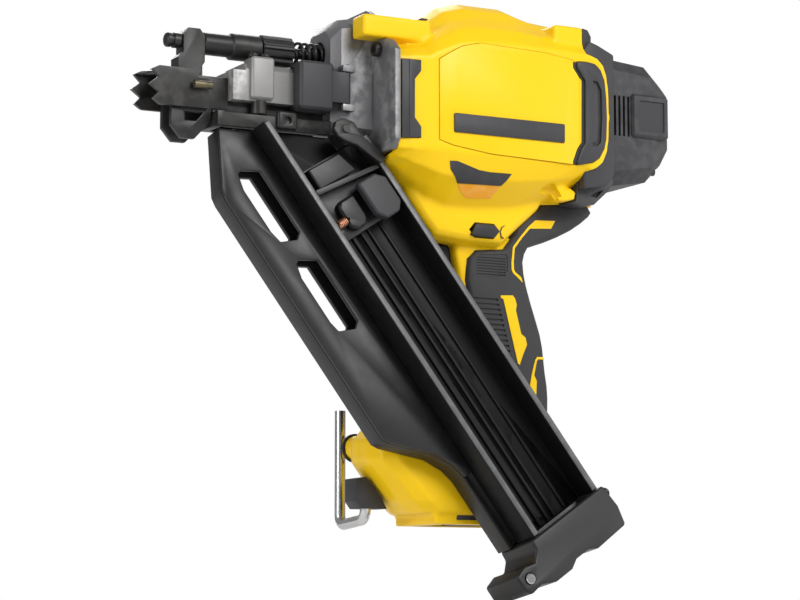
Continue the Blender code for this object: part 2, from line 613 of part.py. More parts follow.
def magazine_parts():
    outline = magazine_outline(MAG_REAR)
    body = piece("magazine_body", strip(outline, MAG_FAR, 5.0), "black_plastic")
    inner = [level(-88.0, MAG_TOP - 4.0), level(-88.0, 60.5), (9.0, MAG_FRONT + 3.0),
        (163, MAG_FRONT + 3.0),
             (186, -84.5), (200, -78), (208, -76), (MAG_END + 4.0, -76.0), (MAG_END + 4.0, MAG_REAR - 3.0),
             (level(0.0, MAG_TOP)[0] - 6.0, MAG_REAR - 3.0)]
    cut(body, strip(inner, -5.0, 6.0))
    for window in WINDOWS:
        cut(body, strip(window, -12.0, 12.0))

    plate = piece("magazine_side_plate", strip(magazine_outline(MAG_STEP - FIT), SIDE_LOW, SIDE_HIGH),
        "black_plastic")
    for window in WINDOWS:
        cut(plate, strip(window, -12.0, 12.0))

    rear_m = (MAG_TOP + MAG_REAR * math.sin(STRIP_ANGLE)) / math.cos(STRIP_ANGLE)
    step_m = (MAG_TOP + MAG_STEP * math.sin(STRIP_ANGLE)) / math.cos(STRIP_ANGLE)
    rail = piece("magazine_rail", strip([(step_m, MAG_STEP), (MAG_END, MAG_STEP), (MAG_END, MAG_REAR),
                                         (rear_m, MAG_REAR)], SIDE_LOW, MAG_NEAR), "black_plastic")
    cut(rail, strip_box(-40.0, MAG_END + 5.0, MAG_STEP + 4.0, MAG_REAR - 4.0, 8.6, 30.0))
    for n0, n1, high in ((-57.5, -55.0, 10.6), (-51.0, -49.0, 10.6), (-46.0, -44.0, 10.6),
        (-37.0, -35.0, 10.2)):
        add(rail, strip_box(40.0, MAG_END - 0.8, n0, n1, 7.5, high))
    cut(rail, strip_box(6.0, MAG_END - 6.0, -64.2, -60.0, 4.0, 12.0))

    cap_outline = [(MAG_END + FIT, -77), (MAG_END + FIT, -17), (271, -15.5), (282, -18), (283, -42),
        (280, -48),
                   (280, -58), (283, -64), (283, -77), (279, -86), (280, -95), (276, -98), (267,
                       -98), (265, -90),
                   (267, -83), (262, -77.5)]
    cap = piece("magazine_end_cap", soften(strip(cap_outline, -9.5, 26.0), 1.0), "black_plastic")
    cut(cap, strip_box(250.0, 274.0, -70.0, -28.0, 10.0, 22.0))
    cut(cap, strip_box(250.0, 290.0, -72.0, -26.0, -4.8, 5.0))
    cut(cap, turned(strip_point(272.5, -91.0, 30.0), -OUT, [(0, 3.5), (20.0, 3.5)], 16))
    piece("end_cap_screw", turned(strip_point(272.5, -91.0, 27.0), -OUT,
        [(0, 2.6), (0.5, 3.1), (12.0, 3.1)], 16),
          "hook_steel")

    arm = [(2, -35), (5, -38.5), (10, -39), (15, -36), (20, -31.5), (35, -25), (35, -20.5), (31, -20),
        (17, -25),
           (8, -25), (3, -29)]
    lever = piece("lockout_lever", soften(strip(arm, MAG_NEAR + FIT, MAG_NEAR + 3.6), 0.5), "black_steel",
                  strip_point(9.0, -32.0, MAG_NEAR))
    cut(lever, rod(strip_point(9.0, -32.0, 20.0), strip_point(9.0, -32.0, 32.0), 2.25, 20))
    pin = piece("lockout_pin", rod(strip_point(9.0, -32.0, 14.2),
        strip_point(9.0, -32.0, MAG_NEAR + 4.2), 2.2, 20),
                "black_steel")
    add(pin, strip([(6.2, -36), (16, -36), (16, -24.4), (13.8, -24.4)], 13.0, 16.0))


def pusher_parts():
    base = piece("pusher", strip([(16, -68.6), (62, -68.6), (62, -24.4), (17, -24.4)], 11.4, 14.2),
        "black_plastic")
    add(base,
        soften(strip([(17, -65), (30, -65), (31, -38), (18, -42)], 13.0, 23.0), 0.8),
        strip([(29, -68.4), (31.5, -48), (34.5, -25), (37.0, -25), (34.2, -48), (32, -68.4)], 13.0, 23.4),
        soften(strip([(41, -57), (44, -60), (56, -60), (60, -56), (60, -50), (56, -46.5), (41, -46.5)],
            13.0, 20.0), 1.5),
        strip_box(17.0, 40.0, -63.0, -61.2, -3.9, 13.0),
        strip_box(17.0, 20.0, -75.0, -61.2, -3.9, 3.9))
    cut(base, rod(strip_point(52.0, -67.0, 16.8), strip_point(52.0, -57.6, 16.8), 3.3, 18))
    grip = [(38, -43), (58, -43), (63.5, -38.5), (63.5, -29), (59, -24.6), (43, -24.6), (38, -30)]
    piece("pusher_latch", soften(strip(grip, 18.6, 24.4), 1.0), "black_plastic",
                  strip_point(40.0, -34.0, 20.5))
    piece("pusher_spring", coil(strip_point(52.0, -65.6, 16.8), ACROSS, 7.0, 2.3, 0.55, 5, 10, 5), "copper")


# ---- inside -----------------------------------------------------------------------
def drive_parts():
    blade = piece("driver_blade", box(-8.0, 140.0, -1.6, 1.6, -3.6, 3.6), "bright_metal")
    add(blade, soften(box(122.0, 139.0, -18.5, 18.5, -4.0, 5.5), 0.8))
    for sgn in (-1.0, 1.0):
        tag = "left" if sgn < 0 else "right"
        y = sgn * 13.0
        cut(blade, rod((120.0, y, 0), (142.0, y, 0), 2.6, 16))
        piece("return_rail_" + tag, rod((4.2, y, 0), (146.0, y, 0), 2.5, 16), "bright_metal")
        bumper = piece("stop_bumper_" + tag, rod((4.2, y, 0), (9.6, y, 0), 6.0, 18), "dark_rubber")
        cut(bumper, rod((2.0, y, 0), (12.0, y, 0), 2.8, 16))
        piece("return_spring_" + tag, coil((10.0, y, 0), (1, 0, 0), 111.6, 4.2, 0.7, 16, 9, 5),
            "spring_steel",
              (10.0, y, 0.0))
    wheel = piece("flywheel", turned((66.0, -8.0, -27.0), (0, 1, 0),
                                     [(0, 21.0), (1.5, 22.6), (14.5, 22.6),
                                         (16.0, 21.0)], 32), "spring_steel",
                  (66.0, 0.0, -27.0))
    add(wheel, rod((66.0, -12.0, -27.0), (66.0, 33.0, -27.0), 4.0, 16))
    stator = piece("motor_stator", rod((66.0, 10.0, -27.0), (66.0, 29.0, -27.0), 18.0, 28), "winding")
    cut(stator, rod((66.0, 8.0, -27.0), (66.0, 32.0, -27.0), 5.0, 20))
    solenoid = piece("solenoid_coil", rod((66.0, 0, 22.0), (66.0, 0, 50.0), 12.0, 24), "winding")
    cut(solenoid, rod((66.0, 0, 20.0), (66.0, 0, 52.0), 4.3, 16))
    plunger = piece("pinch_roller", rod((66.0, 0, 16.0), (66.0, 0, 46.0), 4.2, 16), "bright_metal",
                    (66.0, 0.0, 30.0))
    add(plunger, rod((66.0, -7.5, 12.0), (66.0, 7.5, 12.0), 6.2, 20))


def build():
    global ROOT
    clear_scene()
    ROOT = bpy.data.objects.new("root", None)
    bpy.context.collection.objects.link(ROOT)
    ROOT.location = (ROOT_X * MM, ROOT_Y * MM, ROOT_Z * MM)
    housing("left_housing", False)
    housing("right_housing", True)
    side_trim("left", -1.0)
    side_trim("right", 1.0)
    badges()
    grips()
    controls()
    foot_parts()
    rear_parts()
    nose_parts()
    latch_parts()
    trip_parts()
    magazine_parts()
    pusher_parts()
    drive_parts()


build()
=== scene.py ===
import math

import bmesh
import bpy
from mathutils import Matrix, Vector


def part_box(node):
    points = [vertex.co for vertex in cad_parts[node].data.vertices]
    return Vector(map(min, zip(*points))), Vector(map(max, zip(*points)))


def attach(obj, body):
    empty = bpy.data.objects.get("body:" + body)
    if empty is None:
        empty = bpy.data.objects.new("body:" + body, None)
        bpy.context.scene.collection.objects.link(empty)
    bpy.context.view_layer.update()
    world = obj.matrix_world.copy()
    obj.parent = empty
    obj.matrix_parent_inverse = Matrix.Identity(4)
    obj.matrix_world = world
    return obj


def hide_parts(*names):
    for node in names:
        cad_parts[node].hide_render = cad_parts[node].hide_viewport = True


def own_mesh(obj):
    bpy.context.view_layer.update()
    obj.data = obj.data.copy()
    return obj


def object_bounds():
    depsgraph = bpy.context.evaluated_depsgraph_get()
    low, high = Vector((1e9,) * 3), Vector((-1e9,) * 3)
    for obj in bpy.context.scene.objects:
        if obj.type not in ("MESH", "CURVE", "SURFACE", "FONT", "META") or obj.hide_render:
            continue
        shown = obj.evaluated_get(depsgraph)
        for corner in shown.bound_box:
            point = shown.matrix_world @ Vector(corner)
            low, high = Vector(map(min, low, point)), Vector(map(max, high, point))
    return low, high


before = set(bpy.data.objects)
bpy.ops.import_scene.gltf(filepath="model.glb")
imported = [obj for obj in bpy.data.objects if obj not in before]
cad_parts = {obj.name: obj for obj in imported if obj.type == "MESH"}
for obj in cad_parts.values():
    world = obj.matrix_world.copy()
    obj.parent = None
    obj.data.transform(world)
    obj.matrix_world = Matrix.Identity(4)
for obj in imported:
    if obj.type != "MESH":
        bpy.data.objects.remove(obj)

cad_low, cad_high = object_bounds()

# ---- the tool's own axes, in millimetres ------------------------------------------
# X runs rearwards along the driver, Y to the tool's right, Z up; zero is on the driver
# axis at the front of the flange plate.
MM = 0.001
ROD_Z = 27.0
rod_low, rod_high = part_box("trip_rod")
flange_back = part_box("nose_casting")[1].x
FLANGE_THICK = 3.5
rod_middle = (rod_low + rod_high) / 2
ORIGIN = Vector((flange_back - FLANGE_THICK * MM, rod_middle.y, rod_middle.z - ROD_Z * MM))


def tool(x, y, z):
    """A point in the tool's own axes."""
    return ORIGIN + Vector((x, y, z)) * MM


LEAN = math.radians(9.5)
STRIP_ANGLE = math.radians(33.0)
DOWN = Vector((0.0, -math.sin(LEAN), -math.cos(LEAN)))
OUT = Vector((0.0, -math.cos(LEAN), math.sin(LEAN)))
AFT = Vector((1.0, 0.0, 0.0))
ALONG = AFT * math.sin(STRIP_ANGLE) + DOWN * math.cos(STRIP_ANGLE)
ACROSS = AFT * math.cos(STRIP_ANGLE) - DOWN * math.sin(STRIP_ANGLE)


def strip(m, n, t):
    """A point of the magazine: along the nail strip, across it, and out of its near side."""
    return ORIGIN + (ALONG * m + ACROSS * n + OUT * t) * MM


def side(x, z, y):
    """A point of an outline drawn on the tool's side, at a depth across it."""
    return tool(x, y, z)


def cross(y, z, x):
    """A point of an outline drawn across the tool, at a place along it."""
    return tool(x, y, z)


# ---- camera, light, floor ---------------------------------------------------------
CAMERA_PLACE = (-651.5, -1279.2, -288.0)
CAMERA_TURN = math.radians(28.0)
CAMERA_RISE = math.radians(7.0)
LENS_MM = 114.3
SENSOR_MM = 36.0
FLOOR_LEVEL = -0.006


def studio():
    """The camera, four soft lamps, a white surround and a pale floor."""
    scene = bpy.context.scene
    turn, rise = CAMERA_TURN, CAMERA_RISE
    right = Vector((math.cos(turn), -math.sin(turn), 0.0))
    ahead = Vector((math.sin(turn) * math.cos(rise), math.cos(turn) * math.cos(rise), math.sin(rise)))
    up = right.cross(ahead)
    camera_data = bpy.data.cameras.new("camera")
    camera_data.lens = LENS_MM
    camera_data.sensor_width = SENSOR_MM
    camera = bpy.data.objects.new("camera", camera_data)
    scene.collection.objects.link(camera)
    facing = Matrix((right, up, -ahead)).transposed().to_4x4()
    camera.matrix_world = Matrix.Translation(tool(*CAMERA_PLACE)) @ facing
    scene.camera = camera
    scene.view_settings.view_transform = "Standard"

    centre = (cad_low + cad_high) / 2
    lamps = (
        ("key_light", (0.35, -1.9, 1.25), 1.2, 36.0),
        ("fill_light", (1.7, -1.0, 0.3), 1.4, 10.0),
        ("back_light", (0.3, 1.7, 1.5), 1.4, 26.0),
        ("side_light", (-1.7, -0.35, 0.35), 0.8, 9.0),
    )
    for name, place, size, power in lamps:
        data = bpy.data.lights.new(name, "AREA")
        data.shape = "DISK"
        data.size = size
        data.energy = power
        lamp = bpy.data.objects.new(name, data)
        scene.collection.objects.link(lamp)
        lamp.location = centre + Vector(place)
        lamp.rotation_euler = (centre - lamp.location).to_track_quat("-Z", "Y").to_euler()

    world = bpy.data.worlds.new("studio")
    world.use_nodes = True
    scene.world = world
    nodes, links = world.node_tree.nodes, world.node_tree.links
    nodes.clear()
    seen = nodes.new("ShaderNodeBackground")
    seen.inputs["Color"].default_value = (1.0, 1.0, 1.0, 1.0)
    seen.inputs["Strength"].default_value = 1.0
    lit = nodes.new("ShaderNodeBackground")
    lit.inputs["Color"].default_value = (0.97, 0.98, 1.0, 1.0)
    lit.inputs["Strength"].default_value = 0.30
    path = nodes.new("ShaderNodeLightPath")
    mix = nodes.new("ShaderNodeMixShader")
    out = nodes.new("ShaderNodeOutputWorld")
    links.new(path.outputs["Is Camera Ray"], mix.inputs[0])
    links.new(lit.outputs[0], mix.inputs[1])
    links.new(seen.outputs[0], mix.inputs[2])
    links.new(mix.outputs[0], out.inputs["Surface"])

    bpy.ops.object.select_all(action="DESELECT")
    bpy.ops.mesh.primitive_plane_add(size=8.0, location=(0.0, 0.0, FLOOR_LEVEL))
    floor = bpy.context.object
    floor.name = "floor"
    paint = bpy.data.materials.new("floor_paint")
    paint.use_nodes = True
    shader = paint.node_tree.nodes["Principled BSDF"]
    shader.inputs["Base Color"].default_value = (0.86, 0.86, 0.87, 1.0)
    shader.inputs["Roughness"].default_value = 0.75
    floor.data.materials.append(paint)


# ---- shader groups ----------------------------------------------------------------
FLOAT = "NodeSocketFloat"


def shader_group(name, inputs, outputs):
    """An empty shader group with number sockets in and out."""
    group = bpy.data.node_groups.new(name, "ShaderNodeTree")
    for label, value in inputs:
        group.interface.new_socket(name=label, in_out="INPUT", socket_type=FLOAT).default_value = value
    for label in outputs:
        group.interface.new_socket(name=label, in_out="OUTPUT", socket_type=FLOAT)
    return group, group.nodes.new("NodeGroupInput"), group.nodes.new("NodeGroupOutput")


def noise(tree, coords, scale, detail, rough=0.5):
    node = tree.nodes.new("ShaderNodeTexNoise")
    tree.links.new(coords, node.inputs["Vector"])
    if isinstance(scale, float):
        node.inputs["Scale"].default_value = scale
    else:
        tree.links.new(scale, node.inputs["Scale"])
    node.inputs["Detail"].default_value = detail
    node.inputs["Roughness"].default_value = rough
    return node.outputs["Fac"]


def spread(tree, value, low, high, to_low=0.0, to_high=1.0):
    """One range of values laid over another."""
    node = tree.nodes.new("ShaderNodeMapRange")
    tree.links.new(value, node.inputs["Value"])
    for label, number in (("From Min", low), ("From Max", high), ("To Min", to_low), ("To Max", to_high)):
        node.inputs[label].default_value = number
    return node.outputs["Result"]


def maths(tree, kind, first, second):
    node = tree.nodes.new("ShaderNodeMath")
    node.operation = kind
    for socket, value in zip(node.inputs, (first, second)):
        if isinstance(value, (int, float)):
            socket.default_value = value
        else:
            tree.links.new(value, socket)
    return node.outputs[0]


def grain_group():
    """Fine moulded or cast grain, a slow mottle, and faint handling smudges."""
    group, gin, gout = shader_group("surface_grain", [("Grain Scale", 1600.0), ("Mottle Scale", 28.0),
                                                      ("Smudge Scale", 90.0)], ["Height", "Mottle",
                                                                                "Smudge"])
    place = group.nodes.new("ShaderNodeTexCoord").outputs["Object"]
    fine = noise(group, place, gin.outputs["Grain Scale"], 3.0, 0.6)
    slow = noise(group, place, gin.outputs["Mottle Scale"], 2.0)
    smudge = noise(group, place, gin.outputs["Smudge Scale"], 4.0, 0.65)
    group.links.new(fine, gout.inputs["Height"])
    group.links.new(spread(group, slow, 0.3, 0.7), gout.inputs["Mottle"])
    group.links.new(spread(group, smudge, 0.46, 0.72), gout.inputs["Smudge"])
    return group


def wear_group():
    """A mask that is high on the rubbed outer edges of a piece."""
    group, gin, gout = shader_group("edge_wear", [("Start", 0.53), ("Patch Scale", 160.0)], ["Wear"])
    geometry = group.nodes.new("ShaderNodeNewGeometry")
    place = group.nodes.new("ShaderNodeTexCoord").outputs["Object"]
    over = maths(group, "SUBTRACT", geometry.outputs["Pointiness"], gin.outputs["Start"])
    edge = spread(group, over, 0.0, 0.12)
    patch = spread(group, noise(group, place, gin.outputs["Patch Scale"], 3.0), 0.42, 0.62)
    group.links.new(maths(group, "MULTIPLY", edge, patch), gout.inputs["Wear"])
    return group


def scratch_group():
    """Short fine scratches of a handled metal surface, along two directions."""
    group, gin, gout = shader_group("fine_scratches", [("Scale", 260.0)], ["Scratch"])
    place = group.nodes.new("ShaderNodeTexCoord").outputs["Object"]
    marks = []
    for turn, stretch in ((0.5, (1.0, 14.0, 14.0)), (-0.9, (12.0, 1.0, 12.0))):
        mapping = group.nodes.new("ShaderNodeMapping")
        mapping.inputs["Rotation"].default_value = (turn, 0.3, turn)
        mapping.inputs["Scale"].default_value = stretch
        group.links.new(place, mapping.inputs["Vector"])
        marks.append(spread(group, noise(group, mapping.outputs[0], gin.outputs["Scale"], 2.0), 0.62, 0.74))
    group.links.new(maths(group, "MAXIMUM", marks[0], marks[1]), gout.inputs["Scratch"])
    return group


GRAIN, WEAR, SCRATCH = grain_group(), wear_group(), scratch_group()
FINISHES = {}


def finish(name, base, varied, rubbed, rough, metal=0.0, grain=1600.0, depth=0.05, wear=0.35, scratch=0.0,
           shine=0.5, mottle=28.0, rough_swing=0.08):
    mat = bpy.data.materials.new(name)
    mat.use_nodes = True
    tree = mat.node_tree
    shader = tree.nodes["Principled BSDF"]

    def placed(group, **values):
        node = tree.nodes.new("ShaderNodeGroup")
        node.node_tree = group
        for label, value in values.items():
            node.inputs[label.replace("_", " ")].default_value = value
        return node

    def blend(factor, first, second):
        node = tree.nodes.new("ShaderNodeMix")
        node.data_type = "RGBA"
        tree.links.new(factor, node.inputs["Factor"])
        for socket, value in ((node.inputs[6], first), (node.inputs[7], second)):
            if isinstance(value, tuple):
                socket.default_value = (*value, 1.0)
            else:
                tree.links.new(value, socket)
        return node.outputs[2]

    skin = placed(GRAIN, Grain_Scale=grain, Mottle_Scale=mottle)
    edges = placed(WEAR)
    colour = blend(skin.outputs["Mottle"], base, varied)
    worn = maths(tree, "MULTIPLY", edges.outputs["Wear"], wear)
    colour = blend(worn, colour, rubbed)
    height = skin.outputs["Height"]
    roughness = spread(tree, skin.outputs["Smudge"], 0.0, 1.0, rough, rough + rough_swing)
    if scratch:
        lines = placed(SCRATCH)
        mark = maths(tree, "MULTIPLY", lines.outputs["Scratch"], scratch)
        colour = blend(mark, colour, rubbed)
        roughness = maths(tree, "ADD", roughness, maths(tree, "MULTIPLY", mark, 0.15))
        height = maths(tree, "SUBTRACT", height, maths(tree, "MULTIPLY", mark, 0.5))
    tree.links.new(colour, shader.inputs["Base Color"])
    tree.links.new(roughness, shader.inputs["Roughness"])
    bump = tree.nodes.new("ShaderNodeBump")
    bump.inputs["Strength"].default_value = min(1.0, depth * 6.0)
    bump.inputs["Distance"].default_value = depth * MM
    tree.links.new(height, bump.inputs["Height"])
    tree.links.new(bump.outputs[0], shader.inputs["Normal"])
    shader.inputs["Metallic"].default_value = metal
    shader.inputs["Specular IOR Level"].default_value = shine
    FINISHES[name] = mat
    return mat


def make_finishes():
    finish("yellow_shell", (0.90, 0.56, 0.005), (0.93, 0.59, 0.006), (0.95, 0.62, 0.05), 0.33, grain=900.0,
           depth=0.03, wear=0.2, mottle=16.0, shine=0.22)
    finish("dark_rubber", (0.030, 0.030, 0.032), (0.036, 0.036, 0.038), (0.08, 0.08, 0.08), 0.60,
           grain=1300.0,
           depth=0.10, wear=0.3, shine=0.35)
    finish("black_plastic", (0.0075, 0.0075, 0.008), (0.010, 0.010, 0.0105), (0.05, 0.05, 0.05), 0.42,
           grain=1500.0, depth=0.04, wear=0.3, shine=0.5)
    finish("grey_plastic", (0.034, 0.034, 0.037), (0.040, 0.040, 0.043), (0.10, 0.10, 0.10), 0.48,
           grain=1300.0,
           depth=0.05, wear=0.3, shine=0.35, rough_swing=0.03)
    finish("black_steel", (0.012, 0.0115, 0.011), (0.016, 0.0155, 0.015), (0.12, 0.11, 0.10), 0.40, 0.3,
           1100.0, 0.03, 0.5, 0.15)
    finish("cast_metal", (0.17, 0.17, 0.175), (0.20, 0.20, 0.205), (0.50, 0.50, 0.50), 0.44, 0.55, 700.0,
           0.10, 0.6, 0.1)
    finish("bright_metal", (0.23, 0.227, 0.223), (0.26, 0.256, 0.25), (0.75, 0.74, 0.72), 0.44, 0.35, 700.0,
           0.08, 0.5, 0.12)
    # The pusher rail's channel: black plastic, made darker and less shiny than the black plastic around it.
    # That extra darkness is painted shade for the deep recess.
    finish("channel_black_painted_shade", (0.0035, 0.0035, 0.0038), (0.0045, 0.0045, 0.0048), (0.03, 0.03, 0.03), 0.5,
           grain=1500.0, depth=0.02, wear=0.2, shine=0.22, rough_swing=0.04)
    finish("rail_edge", (0.085, 0.085, 0.087), (0.10, 0.10, 0.102), (0.30, 0.30, 0.30), 0.42, 0.3, 1100.0,
           0.03, 0.4, 0.2)
    finish("spring_steel", (0.020, 0.020, 0.021), (0.03, 0.03, 0.03), (0.25, 0.25, 0.25), 0.32, 0.7, 900.0,
           0.02, 0.6, 0.2)
    finish("hook_steel", (0.62, 0.62, 0.62), (0.68, 0.68, 0.67), (0.85, 0.85, 0.84), 0.17, 1.0, 900.0, 0.01,
           0.3, 0.35, rough_swing=0.12)
    finish("copper", (0.62, 0.26, 0.15), (0.70, 0.34, 0.21), (0.85, 0.55, 0.40), 0.28, 0.9, 900.0, 0.02,
           0.4, 0.2)
    finish("brass", (0.055, 0.047, 0.026), (0.075, 0.062, 0.034), (0.30, 0.25, 0.15), 0.42, 0.6, 900.0,
           0.02, 0.4, 0.3)
    finish("orange_label", (0.90, 0.37, 0.015), (0.92, 0.39, 0.02), (0.95, 0.60, 0.20), 0.42, grain=900.0,
           depth=0.02, shine=0.3, rough_swing=0.02)
    finish("board_green", (0.02, 0.16, 0.06), (0.03, 0.20, 0.08), (0.20, 0.40, 0.20), 0.35, grain=400.0,
           depth=0.03)
    finish("winding", (0.40, 0.16, 0.05), (0.50, 0.22, 0.08), (0.75, 0.45, 0.25), 0.35, 0.6, 900.0, 0.05)


# ---- modelling --------------------------------------------------------------------
def fresh():
    if bpy.context.mode != "OBJECT":
        bpy.ops.object.mode_set(mode="OBJECT")
    bpy.ops.object.select_all(action="DESELECT")


def take(obj):
    fresh()
    obj.select_set(True)
    bpy.context.view_layer.objects.active = obj
    return obj


def apply(obj, kind, **values):
    take(obj)
    change = obj.modifiers.new("step", kind)
    for label, value in values.items():
        setattr(change, label, value)
    bpy.ops.object.modifier_apply(modifier=change.name)
    return obj


def ring_stack(name, rings):
    """A circle with as many corners as the first ring, extruded from ring to ring."""
    fresh()
    bpy.ops.mesh.primitive_circle_add(vertices=len(rings[0]), radius=MM, fill_type="NGON",
                                      location=(0, 0, 0))
    obj = bpy.context.object
    obj.name = obj.data.name = name
    for vert, point in zip(obj.data.vertices, rings[0]):
        vert.co = point
    bpy.ops.object.mode_set(mode="EDIT")
    bpy.ops.mesh.select_all(action="SELECT")
    for before, after in zip(rings, rings[1:]):
        bpy.ops.mesh.extrude_region_move()
        mesh = bmesh.from_edit_mesh(obj.data)
        for vert in mesh.verts:
            if vert.select:
                nearest = min(range(len(before)), key=lambda k: (before[k] - vert.co).length_squared)
                vert.co = after[nearest]
        bmesh.update_edit_mesh(obj.data)
    bpy.ops.mesh.select_all(action="SELECT")
    bpy.ops.mesh.normals_make_consistent(inside=False)
    bpy.ops.object.mode_set(mode="OBJECT")
    return obj


def slab(name, outline, low, high, place=side):
    """An outline extruded from one depth to another."""
    return ring_stack(name, [[place(a, b, low) for a, b in outline], [place(a, b, high) for a,
                                                                      b in outline]])


def layered(name, outline, layers, place=side):
    """An outline stacked at several depths, drawn in by its own amount at each."""
    return ring_stack(name, [[place(a, b, depth) for a, b in inset(outline, amount)] for depth,
                             amount in layers])


def block(name, x0, x1, y0, y1, z0, z1):
    return slab(name, [(x0, z0), (x1, z0), (x1, z1), (x0, z1)], y0, y1)


def strip_block(name, m0, m1, n0, n1, t0, t1):
    return slab(name, [(m0, n0), (m1, n0), (m1, n1), (m0, n1)], t0, t1, strip)


def ring_axes(direction):
    axis = Vector(direction).normalized()
    helper = Vector((0, 0, 1)) if abs(axis.z) < 0.9 else Vector((1, 0, 0))
    across = axis.cross(helper).normalized()
    return axis, across, axis.cross(across)


def turned(name, start, direction, profile, sides=40):
    """A round piece: start in the row's frame, then distances and radii in millimetres."""
    axis, u, w = ring_axes(direction)
    rings = []
    for distance, radius in profile:
        centre = start + axis * distance * MM
        turn = [2 * math.pi * k / sides for k in range(sides)]
        rings.append([centre + (u * math.cos(a) + w * math.sin(a)) * radius * MM for a in turn])
    return ring_stack(name, rings)


def wire(name, points, radius, sides=6):
    """A bent round wire through points, made as a curve and turned into a mesh."""
    fresh()
    data = bpy.data.curves.new(name, "CURVE")
    data.dimensions = "3D"
    data.bevel_depth = radius * MM
    data.bevel_resolution = sides
    data.use_fill_caps = True
    spline = data.splines.new("POLY")
    spline.points.add(len(points) - 1)
    for spot, point in zip(spline.points, points):
        spot.co = (*point, 1.0)
    obj = bpy.data.objects.new(name, data)
    bpy.context.scene.collection.objects.link(obj)
    take(obj)
    bpy.ops.object.convert(target="MESH")
    obj = bpy.context.object
    bpy.ops.object.mode_set(mode="EDIT")
    bpy.ops.mesh.select_all(action="SELECT")
    bpy.ops.mesh.remove_doubles(threshold=1e-6)
    bpy.ops.mesh.normals_make_consistent(inside=False)
    bpy.ops.object.mode_set(mode="OBJECT")
    return obj


def helix(start, direction, length, radius, turns, steps=28):
    axis, u, w = ring_axes(direction)
    total = int(turns * steps)
    points = []
    for k in range(total + 1):
        a = 2 * math.pi * k / steps
        swing = (u * math.cos(a) + w * math.sin(a)) * radius
        points.append(start + (axis * length * k / total + swing) * MM)
    return points


def inset(points, amount):
    """Every side of a closed outline moved inwards by the same amount."""
    if not amount:
        return list(points)
    area = sum(a[0] * b[1] - b[0] * a[1] for a, b in zip(points, points[1:] + points[:1]))
    sign = 1.0 if area > 0 else -1.0
    result = []
    count = len(points)
    for i in range(count):
        p0, p1, p2 = points[i - 1], points[i], points[(i + 1) % count]
        d1 = Vector((p1[0] - p0[0], p1[1] - p0[1])).normalized()
        d2 = Vector((p2[0] - p1[0], p2[1] - p1[1])).normalized()
        both = (Vector((-d1.y, d1.x)) + Vector((-d2.y, d2.x))) * sign
        scale = amount / max(0.6, 0.5 * both.length_squared)
        result.append((p1[0] + both.x * scale, p1[1] + both.y * scale))
    return result


def copied(node, name=None):
    """A merged copy of a CAD node's mesh, as the start of a finished piece."""
    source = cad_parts[node]
    obj = bpy.data.objects.new(name or node + "_detail", source.data.copy())
    bpy.context.scene.collection.objects.link(obj)
    take(obj)
    bpy.ops.mesh.customdata_custom_splitnormals_clear()
    bpy.ops.object.mode_set(mode="EDIT")
    bpy.ops.mesh.select_all(action="SELECT")
    bpy.ops.mesh.remove_doubles(threshold=2e-6)
    bpy.ops.mesh.dissolve_limited(angle_limit=math.radians(2.0))
    bpy.ops.object.mode_set(mode="OBJECT")
    return obj


def round_edges(obj, width, segments=2, angle=30.0):
    """The sharp edges of a piece, rounded."""
    return apply(obj, "BEVEL", width=width * MM, segments=segments, limit_method="ANGLE",
                 angle_limit=math.radians(angle), use_clamp_overlap=True, loop_slide=True)


def boolean(obj, kind, *others):
    for other in others:
        apply(obj, "BOOLEAN", operation=kind, solver="MANIFOLD", object=other)
        bpy.data.objects.remove(other, do_unlink=True)
    return obj


def cut(obj, *others):
    return boolean(obj, "DIFFERENCE", *others)


def add(obj, *others):
    return boolean(obj, "UNION", *others)


def join(obj, *others):
    take(obj)
    for other in others:
        other.select_set(True)
    bpy.ops.object.join()
    return obj


def smooth(obj, angle=35.0):
    take(obj)
    bpy.ops.object.shade_smooth_by_angle(angle=math.radians(angle))
    return obj


def done(obj, name, body, material, *nodes, angle=35.0, slot=None):
    obj.name = obj.data.name = name
    smooth(obj, angle)
    obj.data.materials.clear()
    obj.data.materials.append(FINISHES[material])
    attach(obj, body)
    if nodes:
        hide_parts(*nodes)
    return obj


# ---- housing ----------------------------------------------------------------------
# position along X, crown height, shoulder height, half width, belly height
BARREL = [
    (3.9, 37.0, 22.0, 45.0, -38.0),
    (14.0, 38.0, 23.0, 46.4, -45.0),
    (24.0, 40.0, 24.0, 46.8, -51.0),
    (32.0, 51.0, 28.0, 46.8, -56.0),
    (44.0, 60.0, 33.0, 46.8, -60.0),
    (58.0, 64.0, 35.0, 46.8, -60.0),
    (86.0, 64.0, 35.5, 46.8, -58.0),
    (105.0, 58.5, 35.5, 46.8, -53.0),
    (124.0, 57.0, 35.0, 46.6, -46.0),
    (134.0, 55.5, 34.5, 46.3, -42.0),
    (139.5, 51.0, 33.0, 45.6, -40.5),
    (143.0, 44.5, 30.0, 43.5, -39.0),
]


def barrel(name, grow=0.0):
    """The motor housing as rings along X, swollen by grow."""
    rings = []
    for x, crown, shoulder, half, belly in BARREL:
        crown, shoulder, half, belly = crown + grow, shoulder + 0.4 * grow, half + grow, belly - grow
        outline = [
            (0.30 * half, crown), (0.50 * half, crown - 0.16 * (crown - shoulder)),
            (0.66 * half, crown - 0.42 * (crown - shoulder)),
            (half - 7.0, shoulder + 0.34 * (crown - shoulder)), (half, shoulder), (half, -30.0),
            (half - 6.0, -30.0 + 0.45 * (belly + 30.0)), (0.46 * half, belly),
        ]
        ring = [tool(x, y, z) for y, z in outline]
        ring += [tool(x, -y, z) for y, z in reversed(outline)]
        rings.append(ring)
    return ring_stack(name, rings)


